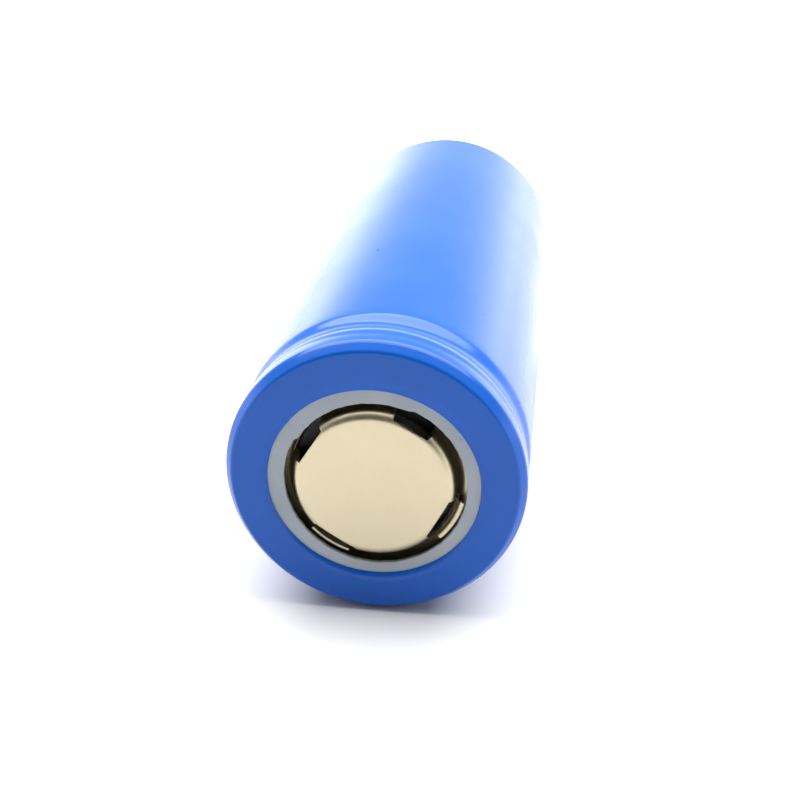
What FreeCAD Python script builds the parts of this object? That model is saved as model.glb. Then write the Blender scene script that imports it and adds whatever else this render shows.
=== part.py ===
import FreeCAD, Part, Sketcher
import os
import re

# A rechargeable cylindrical cell of the 26650 size, lying on its side.
#
# The cell axis lies along Y: the positive terminal looks to -Y, the negative one to +Y, and +Z is up.
# The origin is on the floor, under the middle of the cell.
# Every piece is drawn upright first. There, Z is the height above the negative terminal face,
# X and Y are across the cell, and place() lays all the pieces down together.

MILLIMETRES = {
    # the whole cell, in its sleeve
    "cell_length": 65.5,
    "wrap_radius": 13.1,
    "wrap_wall": 0.1,
    "wrap_corner": 1.1,
    "wrap_front": 65.2,
    "wrap_front_hole": 9.1,
    "wrap_rear": 0.1,
    "wrap_rear_hole": 10.3,
    "wrap_dip": 0.7,
    "wrap_dip_half": 1.7,
    # the drawn steel can: its raised contact pad, its bead and its crimped mouth
    "can_radius": 12.97,
    "can_wall": 0.3,
    "can_floor": 0.4,
    "can_corner": 1.0,
    "pad_radius": 8.5,
    "pad_rise": 0.2,
    "bead_height": 60.4,
    "bead_round": 1.0,
    "bead_shoulder": 0.6,
    "crimp_height": 64.75,
    "crimp_hole": 10.4,
    "side_gap": 0.03,
    # the insulating ring on the crimp
    "washer_radius": 12.0,
    "washer_hole": 7.9,
    # the stack of discs that the gasket holds in the mouth
    "stack_low": 62.24,
    "stack_radius": 11.48,
    "vent_wall": 0.32,
    "vent_drop": 0.7,
    "vent_weld_radius": 1.4,
    "vent_slope_radius": 3.2,
    "vent_score_radius": 5.0,
    "vent_score_depth": 0.14,
    "vent_rim_hole": 10.3,
    "ptc_wall": 0.42,
    "ptc_hole": 6.0,
    "cap_wall": 0.45,
    "cap_top_radius": 6.8,
    "cap_foot_radius": 7.2,
    "cap_round": 0.45,
    "cap_foot_round": 0.35,
    "window_chord": 6.3,
    "window_width": 3.3,
    "window_foot": 0.17,
    "gasket_foot": 0.52,
    "gasket_foot_hole": 8.9,
    "gasket_lip_hole": 9.8,
    # the disconnect under the vent
    "contact_radius": 7.6,
    "contact_wall": 0.4,
    "gas_hole_radius": 0.55,
    "gas_hole_circle": 3.3,
    "spacer_radius": 8.2,
    "spacer_hole": 4.6,
    # the winding, from its bore outwards
    "winding_bore": 2.3,
    "separator_wall": 0.035,
    "cathode_wall": 0.17,
    "anode_wall": 0.13,
    "sheet_gap": 0.02,
    "separator_low": 1.0,
    "separator_high": 58.3,
    "anode_low": 1.9,
    "anode_high": 57.4,
    "cathode_low": 2.5,
    "cathode_high": 56.8,
    "closing_tape_wall": 0.05,
    "closing_tape_margin": 4.0,
    # the pin in the bore
    "pin_radius": 1.75,
    "pin_wall": 0.25,
    "pin_slit": 0.5,
    "pin_low": 1.4,
    "pin_high": 57.6,
    # the discs above and below the winding
    "upper_disc_radius": 12.4,
    "upper_disc_low": 58.45,
    "lower_disc_radius": 11.9,
    "disc_wall": 0.3,
    "disc_bore": 2.0,
    "disc_hole_radius": 0.9,
    "disc_hole_circle": 9.6,
    "tab_slot_width": 5.2,
    "tab_slot_depth": 1.2,
    # the two tabs and their tapes
    "tab_wall": 0.12,
    "plus_tab_width": 4.5,
    "plus_tab_low": 59.0,
    "plus_tab_fold": 4.0,
    "plus_tab_weld": 3.0,
    "minus_tab_width": 4.0,
    "minus_tab_weld": 1.5,
    "tape_wall": 0.06,
    "tape_margin": 0.4,
    "plus_tape_length": 6.0,
    "minus_tape_length": 4.5,
}

# Turns of the winding, counted in half turns from the bore.
SEPARATOR_HALF_TURNS = (0, 44)
ANODE_HALF_TURNS = (2, 42)
CATHODE_HALF_TURNS = (3, 41)
TAPE_HALF_TURNS = (42, 44)
PLUS_TAB_TURN = 10
MINUS_TAB_TURN = 8

WINDOWS = 4
WINDOW_TURN = 57
GAS_HOLES = 6
DISC_HOLES = 8

# Lengths that follow from the driving ones.
PITCH = "(2 * separator_wall + cathode_wall + anode_wall + 4 * sheet_gap)"
CATHODE_START = "(winding_bore + separator_wall + sheet_gap)"
OUTER_SEPARATOR_START = f"({CATHODE_START} + cathode_wall + sheet_gap)"
ANODE_START = f"({OUTER_SEPARATOR_START} + separator_wall + sheet_gap)"
CAN_INSIDE = "(can_radius - can_wall)"
VENT_TOP = "(stack_low + vent_wall)"
FLANGE_LOW = f"({VENT_TOP} + ptc_wall)"
FLANGE_TOP = f"({FLANGE_LOW} + cap_wall)"
STACK_TOP = f"({FLANGE_TOP} + vent_wall)"
CONTACT_TOP = "(stack_low - vent_drop)"
CONTACT_LOW = f"({CONTACT_TOP} - contact_wall)"

doc = FreeCAD.newDocument("CylindricalCell")
sheet = doc.addObject("Spreadsheet::Sheet", "Sizes")
for row, (alias, value) in enumerate(MILLIMETRES.items(), start=1):
    sheet.set(f"A{row}", alias)
    sheet.set(f"B{row}", str(value))
    sheet.setAlias(f"B{row}", alias)
doc.recompute()

pieces = []


def bound(formula):
    """The formula with each of its size names looked up in the sheet."""
    def in_sheet(word):
        return f"Sizes.{word[0]}" if word[0] in MILLIMETRES else word[0]
    return re.sub(r"[a-z]\w+", in_sheet, formula)


def size(formula):
    """The formula's value in millimetres."""
    return float(sheet.evalExpression(bound(formula)))


def place(piece, name):
    """Name a finished piece and lay it down with the rest of the cell."""
    piece.Label = name
    piece.Placement = FreeCAD.Placement(FreeCAD.Vector(), FreeCAD.Rotation(FreeCAD.Vector(1, 0, 0), 90))
    piece.setExpression("Placement.Base.y", bound("cell_length / 2"))
    piece.setExpression("Placement.Base.z", bound("wrap_radius"))
    pieces.append(piece)


def new_body(name):
    body = doc.addObject("PartDesign::Body", name)
    place(body, name)
    return body


def new_sketch(body, role, lift="0", turn=0):
    """A sketch on one of the body's own planes, lifted off it and turned about its normal."""
    sketch = body.newObject("Sketcher::SketchObject", f"{body.Name}_sketch")
    planes = {plane.Role: plane for plane in body.Origin.OriginFeatures}
    sketch.AttachmentSupport = [(planes[role], "")]
    sketch.MapMode = "FlatFace"
    sketch.AttachmentOffset = FreeCAD.Placement(
        FreeCAD.Vector(), FreeCAD.Rotation(FreeCAD.Vector(0, 0, 1), turn))
    sketch.setExpression("AttachmentOffset.Base.z", bound(lift))
    return sketch


def arc_between(start, end, bend):
    """The shorter arc from start to end: it turns left for a positive radius, else right."""
    chord = end - start
    left = FreeCAD.Vector(-chord.y, chord.x, 0).normalize()
    reach = max(bend ** 2 - (chord.Length / 2) ** 2, 0) ** 0.5
    centre = (start + end) / 2 + left * (reach if bend > 0 else -reach)
    circle = Part.Circle(centre, FreeCAD.Vector(0, 0, 1), abs(bend))
    first, last = (start, end) if bend > 0 else (end, start)
    return Part.ArcOfCircle(circle, circle.parameter(first), circle.parameter(last))


def draw(sketch, corners):
    """Closed outline through corners (across, up), each formula driving a constraint of its own.

    A third value bends the side that leaves the corner: a radius, positive to turn left.
    """
    points = [FreeCAD.Vector(size(corner[0]), size(corner[1]), 0) for corner in corners]
    ends = []
    rules = []
    for index, corner in enumerate(corners):
        start = points[index]
        end = points[(index + 1) % len(points)]
        bend = corner[2] if len(corner) == 3 else None
        if bend is None:
            side = sketch.addGeometry(Part.LineSegment(start, end))
        else:
            side = sketch.addGeometry(arc_between(start, end, size(bend)))
            radius = bend if size(bend) > 0 else f"-({bend})"
            rules.append((Sketcher.Constraint("Radius", side, size(radius)), radius))
        ends.append((side, 1, 2) if bend is None or size(bend) > 0 else (side, 2, 1))
        rules.append((Sketcher.Constraint("DistanceX", -1, 1, side, ends[-1][1], start.x), corner[0]))
        rules.append((Sketcher.Constraint("DistanceY", -1, 1, side, ends[-1][1], start.y), corner[1]))
    for index, (side, first, _) in enumerate(ends):
        before, _, last = ends[index - 1]
        rules.append((Sketcher.Constraint("Coincident", before, last, side, first), None))
    numbers = sketch.addConstraint([rule for rule, _ in rules])
    for number, (_, formula) in zip(numbers, rules):
        if formula is not None:
            sketch.setExpression(f"Constraints[{number}]", bound(formula))


def turned(name, corners):
    """A body of revolution about the cell axis, its outline given as (radius, height)."""
    body = new_body(name)
    sketch = new_sketch(body, "XZ_Plane")
    draw(sketch, corners)
    turn = body.newObject("PartDesign::Revolution", f"{name}_turn")
    turn.Profile = sketch
    turn.ReferenceAxis = (sketch, ["V_Axis"])
    turn.Angle = 360
    return body


def ring(name, hole, radius, low, high):
    """A plain turned ring, or a disc when its hole is 0."""
    return turned(name, [(hole, low), (radius, low), (radius, high), (hole, high)])


def raise_sketch(body, sketch, length, midplane=False):
    """Pad a sketch along its normal, or to both sides of it."""
    pad = body.newObject("PartDesign::Pad", f"{body.Name}_pad")
    pad.Profile = sketch
    pad.Midplane = midplane
    pad.setExpression("Length", bound(length))
    return pad


def cut_down(body, sketch, depth):
    """Pocket a sketch downwards, and make sure that it met the solid."""
    doc.recompute()
    before = body.Shape.Volume
    pocket = body.newObject("PartDesign::Pocket", f"{body.Name}_pocket")
    pocket.Profile = sketch
    pocket.setExpression("Length", bound(depth))
    doc.recompute()
    if pocket.Shape.Volume >= before:
        raise RuntimeError(f"a pocket in {body.Label} cuts nothing")
    return pocket


def repeat(body, feature, count):
    """Repeat a feature evenly about the cell axis."""
    pattern = body.newObject("PartDesign::PolarPattern", f"{body.Name}_pattern")
    pattern.Originals = [feature]
    pattern.Axis = (feature.Profile[0], ["N_Axis"])
    pattern.Angle = 360
    pattern.Occurrences = count
    body.Tip = pattern


def add_circle(sketch, radius, across, up="0"):
    """A circle in a sketch, its radius and its middle driven by formulas."""
    middle = FreeCAD.Vector(size(across), size(up), 0)
    circle = sketch.addGeometry(Part.Circle(middle, FreeCAD.Vector(0, 0, 1), size(radius)))
    numbers = sketch.addConstraint([
        Sketcher.Constraint("Radius", circle, size(radius)),
        Sketcher.Constraint("DistanceX", -1, 1, circle, 3, middle.x),
        Sketcher.Constraint("DistanceY", -1, 1, circle, 3, middle.y),
    ])
    for number, formula in zip(numbers, (radius, across, up)):
        sketch.setExpression(f"Constraints[{number}]", bound(formula))


def rectangle(left, right, low, high):
    return [(left, low), (right, low), (right, high), (left, high)]


def shrink_wrap():
    """Heat-shrunk sleeve: a thin skin folded over both ends and drawn a little into the bead."""
    round_ = "((wrap_dip_half^2 + wrap_dip^2) / (4 * wrap_dip))"
    inside = "(wrap_radius - wrap_wall)"
    flat = "(wrap_radius - wrap_corner)"
    inner_corner = "(wrap_corner - wrap_wall)"
    outer_turn = "wrap_radius - wrap_dip / 2"
    outer_lean = "wrap_dip_half / 2"
    inner_turn = f"{inside} - wrap_dip / 2 + wrap_wall * wrap_dip / 2 / {round_}"
    inner_lean = f"(wrap_dip_half / 2 + wrap_wall * wrap_dip_half / 2 / {round_})"
    turned("shrink_wrap", [
        ("wrap_rear_hole", "wrap_rear"),
        (flat, "wrap_rear", "wrap_corner"),
        ("wrap_radius", "wrap_rear + wrap_corner"),
        ("wrap_radius", "bead_height - wrap_dip_half", round_),
        (outer_turn, f"bead_height - {outer_lean}", f"-{round_}"),
        (outer_turn, f"bead_height + {outer_lean}", round_),
        ("wrap_radius", "bead_height + wrap_dip_half"),
        ("wrap_radius", "wrap_front - wrap_corner", "wrap_corner"),
        (flat, "wrap_front"),
        ("wrap_front_hole", "wrap_front"),
        ("wrap_front_hole", "wrap_front - wrap_wall"),
        (flat, "wrap_front - wrap_wall", f"-{inner_corner}"),
        (inside, "wrap_front - wrap_corner"),
        (inside, "bead_height + wrap_dip_half", f"-({round_} - wrap_wall)"),
        (inner_turn, f"bead_height + {inner_lean}", f"{round_} + wrap_wall"),
        (inner_turn, f"bead_height - {inner_lean}", f"-({round_} - wrap_wall)"),
        (inside, "bead_height - wrap_dip_half"),
        (inside, "wrap_rear + wrap_corner", f"-{inner_corner}"),
        (flat, "wrap_rear + wrap_wall"),
        ("wrap_rear_hole", "wrap_rear + wrap_wall"),
    ])


def can():
    """Deep-drawn steel can, the negative pole: a contact pad, a rolled bead and a crimped mouth."""
    corner_foot = "(can_radius - can_corner)"
    inner_corner = "(can_corner - can_wall)"
    shoulder_foot = "(can_radius - bead_shoulder)"
    inner_shoulder = "(bead_shoulder - can_wall)"
    inner_bead = "(bead_round + can_wall)"
    half_bead = "(bead_round + bead_shoulder)"
    turned("can", [
        ("0", "0"),
        ("pad_radius", "0"),
        ("pad_radius + pad_rise", "pad_rise"),
        (corner_foot, "pad_rise", "can_corner"),
        ("can_radius", "pad_rise + can_corner"),
        ("can_radius", f"bead_height - {half_bead}", "bead_shoulder"),
        (shoulder_foot, "bead_height - bead_round", "-bead_round"),
        (f"{shoulder_foot} - bead_round", "bead_height", "-bead_round"),
        (shoulder_foot, "bead_height + bead_round", "bead_shoulder"),
        ("can_radius", f"bead_height + {half_bead}"),
        ("can_radius", "crimp_height - can_corner", "can_corner"),
        (corner_foot, "crimp_height"),
        ("crimp_hole", "crimp_height"),
        ("crimp_hole", "crimp_height - can_wall"),
        (corner_foot, "crimp_height - can_wall", f"-{inner_corner}"),
        (CAN_INSIDE, "crimp_height - can_corner"),
        (CAN_INSIDE, f"bead_height + {half_bead}", f"-{inner_shoulder}"),
        (shoulder_foot, f"bead_height + {inner_bead}", inner_bead),
        (f"{shoulder_foot} - {inner_bead}", "bead_height", inner_bead),
        (shoulder_foot, f"bead_height - {inner_bead}", f"-{inner_shoulder}"),
        (CAN_INSIDE, f"bead_height - {half_bead}"),
        (CAN_INSIDE, f"pad_rise + can_floor + {inner_corner}", f"-{inner_corner}"),
        (corner_foot, "pad_rise + can_floor"),
        ("pad_radius", "pad_rise + can_floor"),
        ("pad_radius - pad_rise", "can_floor"),
        ("0", "can_floor"),
    ])


def top_washer():
    """Insulating ring on the crimp, held down by the sleeve's folded edge."""
    ring("top_washer", "washer_hole", "washer_radius", "crimp_height", "wrap_front - wrap_wall")


def seal_gasket():
    """Polypropylene gasket: it seats on the bead, and the crimp squeezes it round the stack."""
    outside = f"({CAN_INSIDE} - side_gap)"
    inside = "(stack_radius + side_gap + vent_wall + side_gap)"
    corner = "(can_corner - can_wall - side_gap)"
    turned("seal_gasket", [
        ("gasket_foot_hole", "stack_low - gasket_foot"),
        ("can_radius - bead_shoulder", "stack_low - gasket_foot"),
        (outside, "stack_low - side_gap"),
        (outside, "crimp_height - can_corner", corner),
        (f"{outside} - {corner}", "crimp_height - can_wall - side_gap"),
        ("gasket_lip_hole", "crimp_height - can_wall - side_gap"),
        ("gasket_lip_hole", STACK_TOP),
        (inside, STACK_TOP),
        (inside, "stack_low"),
        ("gasket_foot_hole", "stack_low"),
    ])


def vent_disc():
    """Scored aluminium burst disc: its middle dips to the contact plate, its rim folds over the cap."""
    rim_inside = "(stack_radius + side_gap)"
    rim_outside = f"({rim_inside} + vent_wall)"
    score_low = f"{VENT_TOP} - vent_score_depth"
    turned("vent_disc", [
        ("0", CONTACT_TOP),
        ("vent_weld_radius", CONTACT_TOP),
        ("vent_slope_radius", "stack_low"),
        (rim_outside, "stack_low"),
        (rim_outside, STACK_TOP),
        ("vent_rim_hole", STACK_TOP),
        ("vent_rim_hole", FLANGE_TOP),
        (rim_inside, FLANGE_TOP),
        (rim_inside, VENT_TOP),
        ("vent_score_radius + vent_score_depth", VENT_TOP),
        ("vent_score_radius", score_low),
        ("vent_score_radius - vent_score_depth", VENT_TOP),
        ("vent_slope_radius - 0.1", VENT_TOP),
        ("vent_weld_radius - 0.1", f"{CONTACT_TOP} + vent_wall"),
        ("0", f"{CONTACT_TOP} + vent_wall"),
    ])


def ptc_disc():
    """Ring of conductive polymer under the cap, which limits the current when it is hot."""
    ring("ptc_disc", "ptc_hole", "stack_radius", VENT_TOP, FLANGE_LOW)


def positive_cap():
    """Pressed steel cap, the positive pole: a flat top on four legs with a gas window between them."""
    body = turned("positive_cap", [
        ("cap_foot_radius - cap_wall / 2", FLANGE_LOW),
        ("stack_radius", FLANGE_LOW),
        ("stack_radius", FLANGE_TOP),
        ("cap_foot_radius + cap_foot_round", FLANGE_TOP, "-cap_foot_round"),
        ("cap_foot_radius", f"{FLANGE_TOP} + cap_foot_round"),
        ("cap_top_radius", "cell_length - cap_round", "cap_round"),
        ("cap_top_radius - cap_round", "cell_length"),
        ("0", "cell_length"),
        ("0", "cell_length - cap_wall"),
        ("cap_top_radius - 1.5 * cap_wall", "cell_length - cap_wall"),
        ("cap_top_radius - cap_wall", "cell_length - 1.5 * cap_wall"),
        ("cap_foot_radius - cap_wall", FLANGE_TOP),
    ])
    sketch = new_sketch(body, "XY_Plane", "cell_length", WINDOW_TURN)
    beyond_foot = "cap_foot_radius + 2 * cap_foot_round"
    draw(sketch, rectangle("window_chord", beyond_foot, "-window_width / 2", "window_width / 2"))
    window = cut_down(body, sketch, f"cell_length - {FLANGE_TOP} - window_foot")
    repeat(body, window, WINDOWS)


def disconnect_spacer():
    """Insulating ring that keeps the contact plate off the vent disc, with a skirt round the plate."""
    plate_side = "(contact_radius + side_gap)"
    turned("disconnect_spacer", [
        ("spacer_hole", CONTACT_TOP),
        (plate_side, CONTACT_TOP),
        (plate_side, CONTACT_LOW),
        ("spacer_radius", CONTACT_LOW),
        ("spacer_radius", "stack_low"),
        ("spacer_hole", "stack_low"),
    ])


def contact_plate():
    """Aluminium plate welded to the dip of the vent disc, with holes that let the gas through."""
    body = ring("contact_plate", "0", "contact_radius", CONTACT_LOW, CONTACT_TOP)
    sketch = new_sketch(body, "XY_Plane", CONTACT_TOP)
    add_circle(sketch, "gas_hole_radius", "gas_hole_circle")
    hole = cut_down(body, sketch, "contact_wall")
    repeat(body, hole, GAS_HOLES)


def insulating_disc(name, radius, low, slot_middle):
    """Disc between the winding and the can, with a bore, a slot for the tab and gas holes."""
    body = ring(name, "disc_bore", radius, low, f"{low} + disc_wall")
    top = f"{low} + disc_wall"
    slot = new_sketch(body, "XY_Plane", top)
    draw(slot, rectangle(
        "-tab_slot_width / 2", "tab_slot_width / 2",
        f"{slot_middle} - tab_slot_depth / 2", f"{slot_middle} + tab_slot_depth / 2"))
    cut_down(body, slot, "disc_wall")
    circle = new_sketch(body, "XY_Plane", top, 180 / DISC_HOLES)
    add_circle(circle, "disc_hole_radius", "disc_hole_circle")
    hole = cut_down(body, circle, "disc_wall")
    repeat(body, hole, DISC_HOLES)


def curved_strip(body, inner, width, low, height):
    """Upright strip of a tab, curved like the turn of the winding that it stands on."""
    outer = f"({inner} + tab_wall)"
    sketch = new_sketch(body, "XY_Plane", low)
    draw(sketch, [
        (f"{width} / 2", f"sqrt({inner}^2 - {width}^2 / 4)"),
        (f"{width} / 2", f"sqrt({outer}^2 - {width}^2 / 4)", outer),
        (f"-{width} / 2", f"sqrt({outer}^2 - {width}^2 / 4)"),
        (f"-{width} / 2", f"sqrt({inner}^2 - {width}^2 / 4)", f"-{inner}"),
    ])
    raise_sketch(body, sketch, height)


PLUS_TAB_INSIDE = f"({CATHODE_START} + {PLUS_TAB_TURN} * {PITCH} + (cathode_wall - tab_wall) / 2)"
MINUS_TAB_INSIDE = f"({ANODE_START} + {MINUS_TAB_TURN} * {PITCH} + (anode_wall - tab_wall) / 2)"


def positive_tab():
    """Aluminium strip from the cathode's edge, folded back once and welded under the contact plate."""
    body = new_body("positive_tab")
    end = f"{PLUS_TAB_INSIDE} + tab_wall"
    fold = f"(({CONTACT_LOW} - plus_tab_low) / 2)"
    sketch = new_sketch(body, "YZ_Plane")
    draw(sketch, [
        ("-plus_tab_fold", "plus_tab_low"),
        (end, "plus_tab_low"),
        (end, "plus_tab_low + tab_wall"),
        ("-plus_tab_fold", "plus_tab_low + tab_wall", f"-({fold} - tab_wall)"),
        (f"-plus_tab_fold - {fold} + tab_wall", f"plus_tab_low + {fold}", f"-({fold} - tab_wall)"),
        ("-plus_tab_fold", f"{CONTACT_LOW} - tab_wall"),
        ("plus_tab_weld", f"{CONTACT_LOW} - tab_wall"),
        ("plus_tab_weld", CONTACT_LOW),
        ("-plus_tab_fold", CONTACT_LOW, fold),
        (f"-plus_tab_fold - {fold}", f"plus_tab_low + {fold}", fold),
    ])
    raise_sketch(body, sketch, "plus_tab_width", midplane=True)
    height = "plus_tab_low + tab_wall / 2 - cathode_high"
    curved_strip(body, PLUS_TAB_INSIDE, "plus_tab_width", "cathode_high", height)


def negative_tab():
    """Nickel strip from the anode's edge, bent flat under the lower disc and welded to the can."""
    body = new_body("negative_tab")
    end = f"{MINUS_TAB_INSIDE} + tab_wall"
    sketch = new_sketch(body, "YZ_Plane")
    draw(sketch, rectangle("-minus_tab_weld", end, "can_floor", "can_floor + tab_wall"))
    raise_sketch(body, sketch, "minus_tab_width", midplane=True)
    foot = "(can_floor + tab_wall / 2)"
    curved_strip(body, MINUS_TAB_INSIDE, "minus_tab_width", foot, f"anode_low - {foot}")


def box(name, wide, deep, high, back, low):
    """A Part box centred across the cell, from back along Y and from low upwards."""
    block = doc.addObject("Part::Box", name)
    block.setExpression("Length", bound(wide))
    block.setExpression("Width", bound(deep))
    block.setExpression("Height", bound(high))
    block.setExpression("Placement.Base.x", bound(f"-({wide}) / 2"))
    block.setExpression("Placement.Base.y", bound(back))
    block.setExpression("Placement.Base.z", bound(low))
    return block


def positive_tab_tape():
    """Insulating tape wrapped round the flat of the positive tab."""
    deep = "plus_tape_length"
    back = f"{PLUS_TAB_INSIDE} - plus_tape_length - tape_margin"
    outer = box("plus_tape_outside", "plus_tab_width + 2 * tape_wall + tape_margin", deep,
                "tab_wall + 2 * tape_wall", back, "plus_tab_low - tape_wall")
    inner = box("plus_tape_inside", "plus_tab_width", deep, "tab_wall", back, "plus_tab_low")
    tape = doc.addObject("Part::Cut", "plus_tape")
    tape.Base = outer
    tape.Tool = inner
    place(tape, "positive_tab_tape")


def negative_tab_tape():
    """Insulating tape on the flat of the negative tab, under the lower disc."""
    back = f"{MINUS_TAB_INSIDE} - minus_tape_length - tape_margin"
    strip = box("minus_tape_strip", "minus_tab_width + tape_margin", "minus_tape_length",
                "pad_rise - tab_wall", back, "can_floor + tab_wall")
    tape = doc.addObject("Part::Compound", "minus_tape")
    tape.Links = [strip]
    place(tape, "negative_tab_tape")


def core_pin():
    """Slit steel tube that keeps the winding's bore open."""
    body = ring("core_pin", "pin_radius - pin_wall", "pin_radius", "pin_low", "pin_high")
    sketch = new_sketch(body, "XY_Plane", "pin_high")
    draw(sketch, rectangle("0", "pin_radius + pin_wall", "-pin_slit / 2", "pin_slit / 2"))
    cut_down(body, sketch, "pin_high - pin_low")


def wound_sheet(name, start, wall, half_turns, low, high):
    """A sheet of the winding, as half circles about two middles half a pitch apart.

    The radius grows by half a pitch at each half turn, so all the sheets nest without touching.
    """
    step = size(PITCH) / 2
    foot = size(low)
    up = FreeCAD.Vector(0, 0, 1)

    def half_circles(radius):
        arcs = []
        for half_turn in range(*half_turns):
            side = half_turn % 2
            middle = FreeCAD.Vector(side * step, 0, foot)
            grown = radius + half_turn * step
            arcs.append(Part.makeCircle(grown, middle, up, side * 180, side * 180 + 180))
        return arcs

    inner = half_circles(size(start))
    outer = half_circles(size(start) + size(wall))
    first_end = Part.makeLine(inner[0].firstVertex().Point, outer[0].firstVertex().Point)
    last_end = Part.makeLine(inner[-1].lastVertex().Point, outer[-1].lastVertex().Point)
    outline = Part.Wire(Part.__sortEdges__(inner + outer + [first_end, last_end]))
    wound = doc.addObject("Part::Feature", name)
    wound.Shape = Part.Face(outline).extrude(up * (size(high) - foot))
    place(wound, name)


def winding():
    """Cathode, anode, the two separators and the strip of tape that closes the roll."""
    span = ("separator_low", "separator_high")
    wound_sheet("inner_separator", "winding_bore", "separator_wall", SEPARATOR_HALF_TURNS, *span)
    wound_sheet("cathode_sheet", CATHODE_START, "cathode_wall", CATHODE_HALF_TURNS,
                "cathode_low", "cathode_high")
    wound_sheet("outer_separator", OUTER_SEPARATOR_START, "separator_wall",
                SEPARATOR_HALF_TURNS, *span)
    wound_sheet("anode_sheet", ANODE_START, "anode_wall", ANODE_HALF_TURNS, "anode_low", "anode_high")
    wound_sheet("closing_tape", f"{OUTER_SEPARATOR_START} + separator_wall + sheet_gap",
                "closing_tape_wall", TAPE_HALF_TURNS,
                "separator_low + closing_tape_margin", "separator_high - closing_tape_margin")


shrink_wrap()
top_washer()
can()
seal_gasket()
positive_cap()
ptc_disc()
vent_disc()
disconnect_spacer()
contact_plate()
positive_tab()
positive_tab_tape()
insulating_disc("upper_insulator", "upper_disc_radius", "upper_disc_low",
                f"({PLUS_TAB_INSIDE} - plus_tab_width^2 / 8 / {PLUS_TAB_INSIDE} / 2)")
winding()
core_pin()
insulating_disc("lower_insulator", "lower_disc_radius", "(pad_rise + can_floor)",
                f"({MINUS_TAB_INSIDE} - minus_tab_width^2 / 8 / {MINUS_TAB_INSIDE} / 2)")
negative_tab()
negative_tab_tape()
doc.recompute()

for item in doc.Objects:
    if "Invalid" in item.State or "Error" in item.State:
        raise RuntimeError(f"{item.Label} did not compute: {item.State}")
for piece in pieces:
    if piece.Shape.isNull() or not piece.Shape.isValid():
        raise RuntimeError(f"{piece.Label} has no valid shape")

os.makedirs("parts", exist_ok=True)
for piece in pieces:
    piece.Shape.exportStep(os.path.join("parts", f"{piece.Label}.step"))
    print(f"{piece.Label:20s} {len(piece.Shape.Solids)} solid(s) {piece.Shape.Volume:9.2f} mm3")
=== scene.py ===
import math

import bmesh
import bpy
import numpy as np
from mathutils import Matrix, Vector


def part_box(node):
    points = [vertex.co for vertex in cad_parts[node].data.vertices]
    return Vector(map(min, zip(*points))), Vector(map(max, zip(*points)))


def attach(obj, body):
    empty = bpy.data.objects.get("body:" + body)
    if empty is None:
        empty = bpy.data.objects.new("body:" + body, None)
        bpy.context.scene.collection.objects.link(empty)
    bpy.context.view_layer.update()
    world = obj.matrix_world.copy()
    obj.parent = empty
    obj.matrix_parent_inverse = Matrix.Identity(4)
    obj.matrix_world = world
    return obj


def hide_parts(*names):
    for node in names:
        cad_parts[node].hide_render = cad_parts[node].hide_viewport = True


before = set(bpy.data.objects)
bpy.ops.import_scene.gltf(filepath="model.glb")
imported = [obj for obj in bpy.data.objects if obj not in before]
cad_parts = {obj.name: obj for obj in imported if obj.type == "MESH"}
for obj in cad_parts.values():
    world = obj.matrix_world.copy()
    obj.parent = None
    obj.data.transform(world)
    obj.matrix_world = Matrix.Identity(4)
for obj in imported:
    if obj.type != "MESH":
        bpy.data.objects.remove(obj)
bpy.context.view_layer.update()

bl_info = {
    "name": "Cylindrical Battery Cell",
    "version": (1, 0, 0),
    "blender": (4, 5, 0),
    "location": "View3D > Sidebar > Battery Cell",
    "description": "Builds the sleeve, cap, washer, can and inner finishes of a cylindrical cell",
    "category": "Object",
}

MM = 0.001

# How far a cut edge's nose stands out, as a share of the sheet's thickness.
EDGE_NOSE = 0.3
# Points nearer than this are one point, in the cap's finer sheared edges nearer than the second.
JOIN_DISTANCE = 2e-7
CAP_JOIN = 2e-6
# A point this near to the wall's radius is on the wall.
ON_WALL = 1e-7
# Longest stretches of a turned mesh and of the cap's mesh, and the rows of their finer places.
LONGEST_ROW = 1.4 * MM
CAP_ROW = 1.0 * MM
BEAD_ROWS = 30
WELD_ROWS = 16
# The drawn marks' stretch where they run no particular way.
EVEN = (1.0, 1.0, 1.0)
FILM = "Blue shrink film"

SLEEVE_LOW, SLEEVE_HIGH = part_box("shrink_wrap")
CAN_LOW, CAN_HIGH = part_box("can")
WASHER_LOW, WASHER_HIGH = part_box("top_washer")
CAP_LOW, CAP_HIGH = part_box("positive_cap")

# The cell lies along Y, its positive end towards -Y. Heights along the axis are plain Y values.
AXIS_HEIGHT = (SLEEVE_LOW.z + SLEEVE_HIGH.z) / 2
SLEEVE_RADIUS = (SLEEVE_HIGH.z - SLEEVE_LOW.z) / 2
CAN_RADIUS = (CAN_HIGH.z - CAN_LOW.z) / 2
WASHER_RADIUS = (WASHER_HIGH.z - WASHER_LOW.z) / 2
FLANGE_RADIUS = (CAP_HIGH.z - CAP_LOW.z) / 2


def length_setting(name, millimetres, description):
    return bpy.props.FloatProperty(
        name=name, description=description, default=millimetres * MM, min=0.0,
        precision=5, subtype="DISTANCE", unit="LENGTH")


def number_setting(name, value, description):
    return bpy.props.FloatProperty(name=name, description=description, default=value, precision=3)


def count_setting(name, value, description):
    return bpy.props.IntProperty(name=name, description=description, default=value, min=1)


def angle_setting(name, degrees, description):
    return bpy.props.FloatProperty(
        name=name, description=description, default=math.radians(degrees),
        subtype="ANGLE", unit="ROTATION")


def colour_setting(name, colour, description):
    return bpy.props.FloatVectorProperty(
        name=name, description=description, default=colour, size=3, min=0.0, max=1.0, subtype="COLOR")


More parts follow.
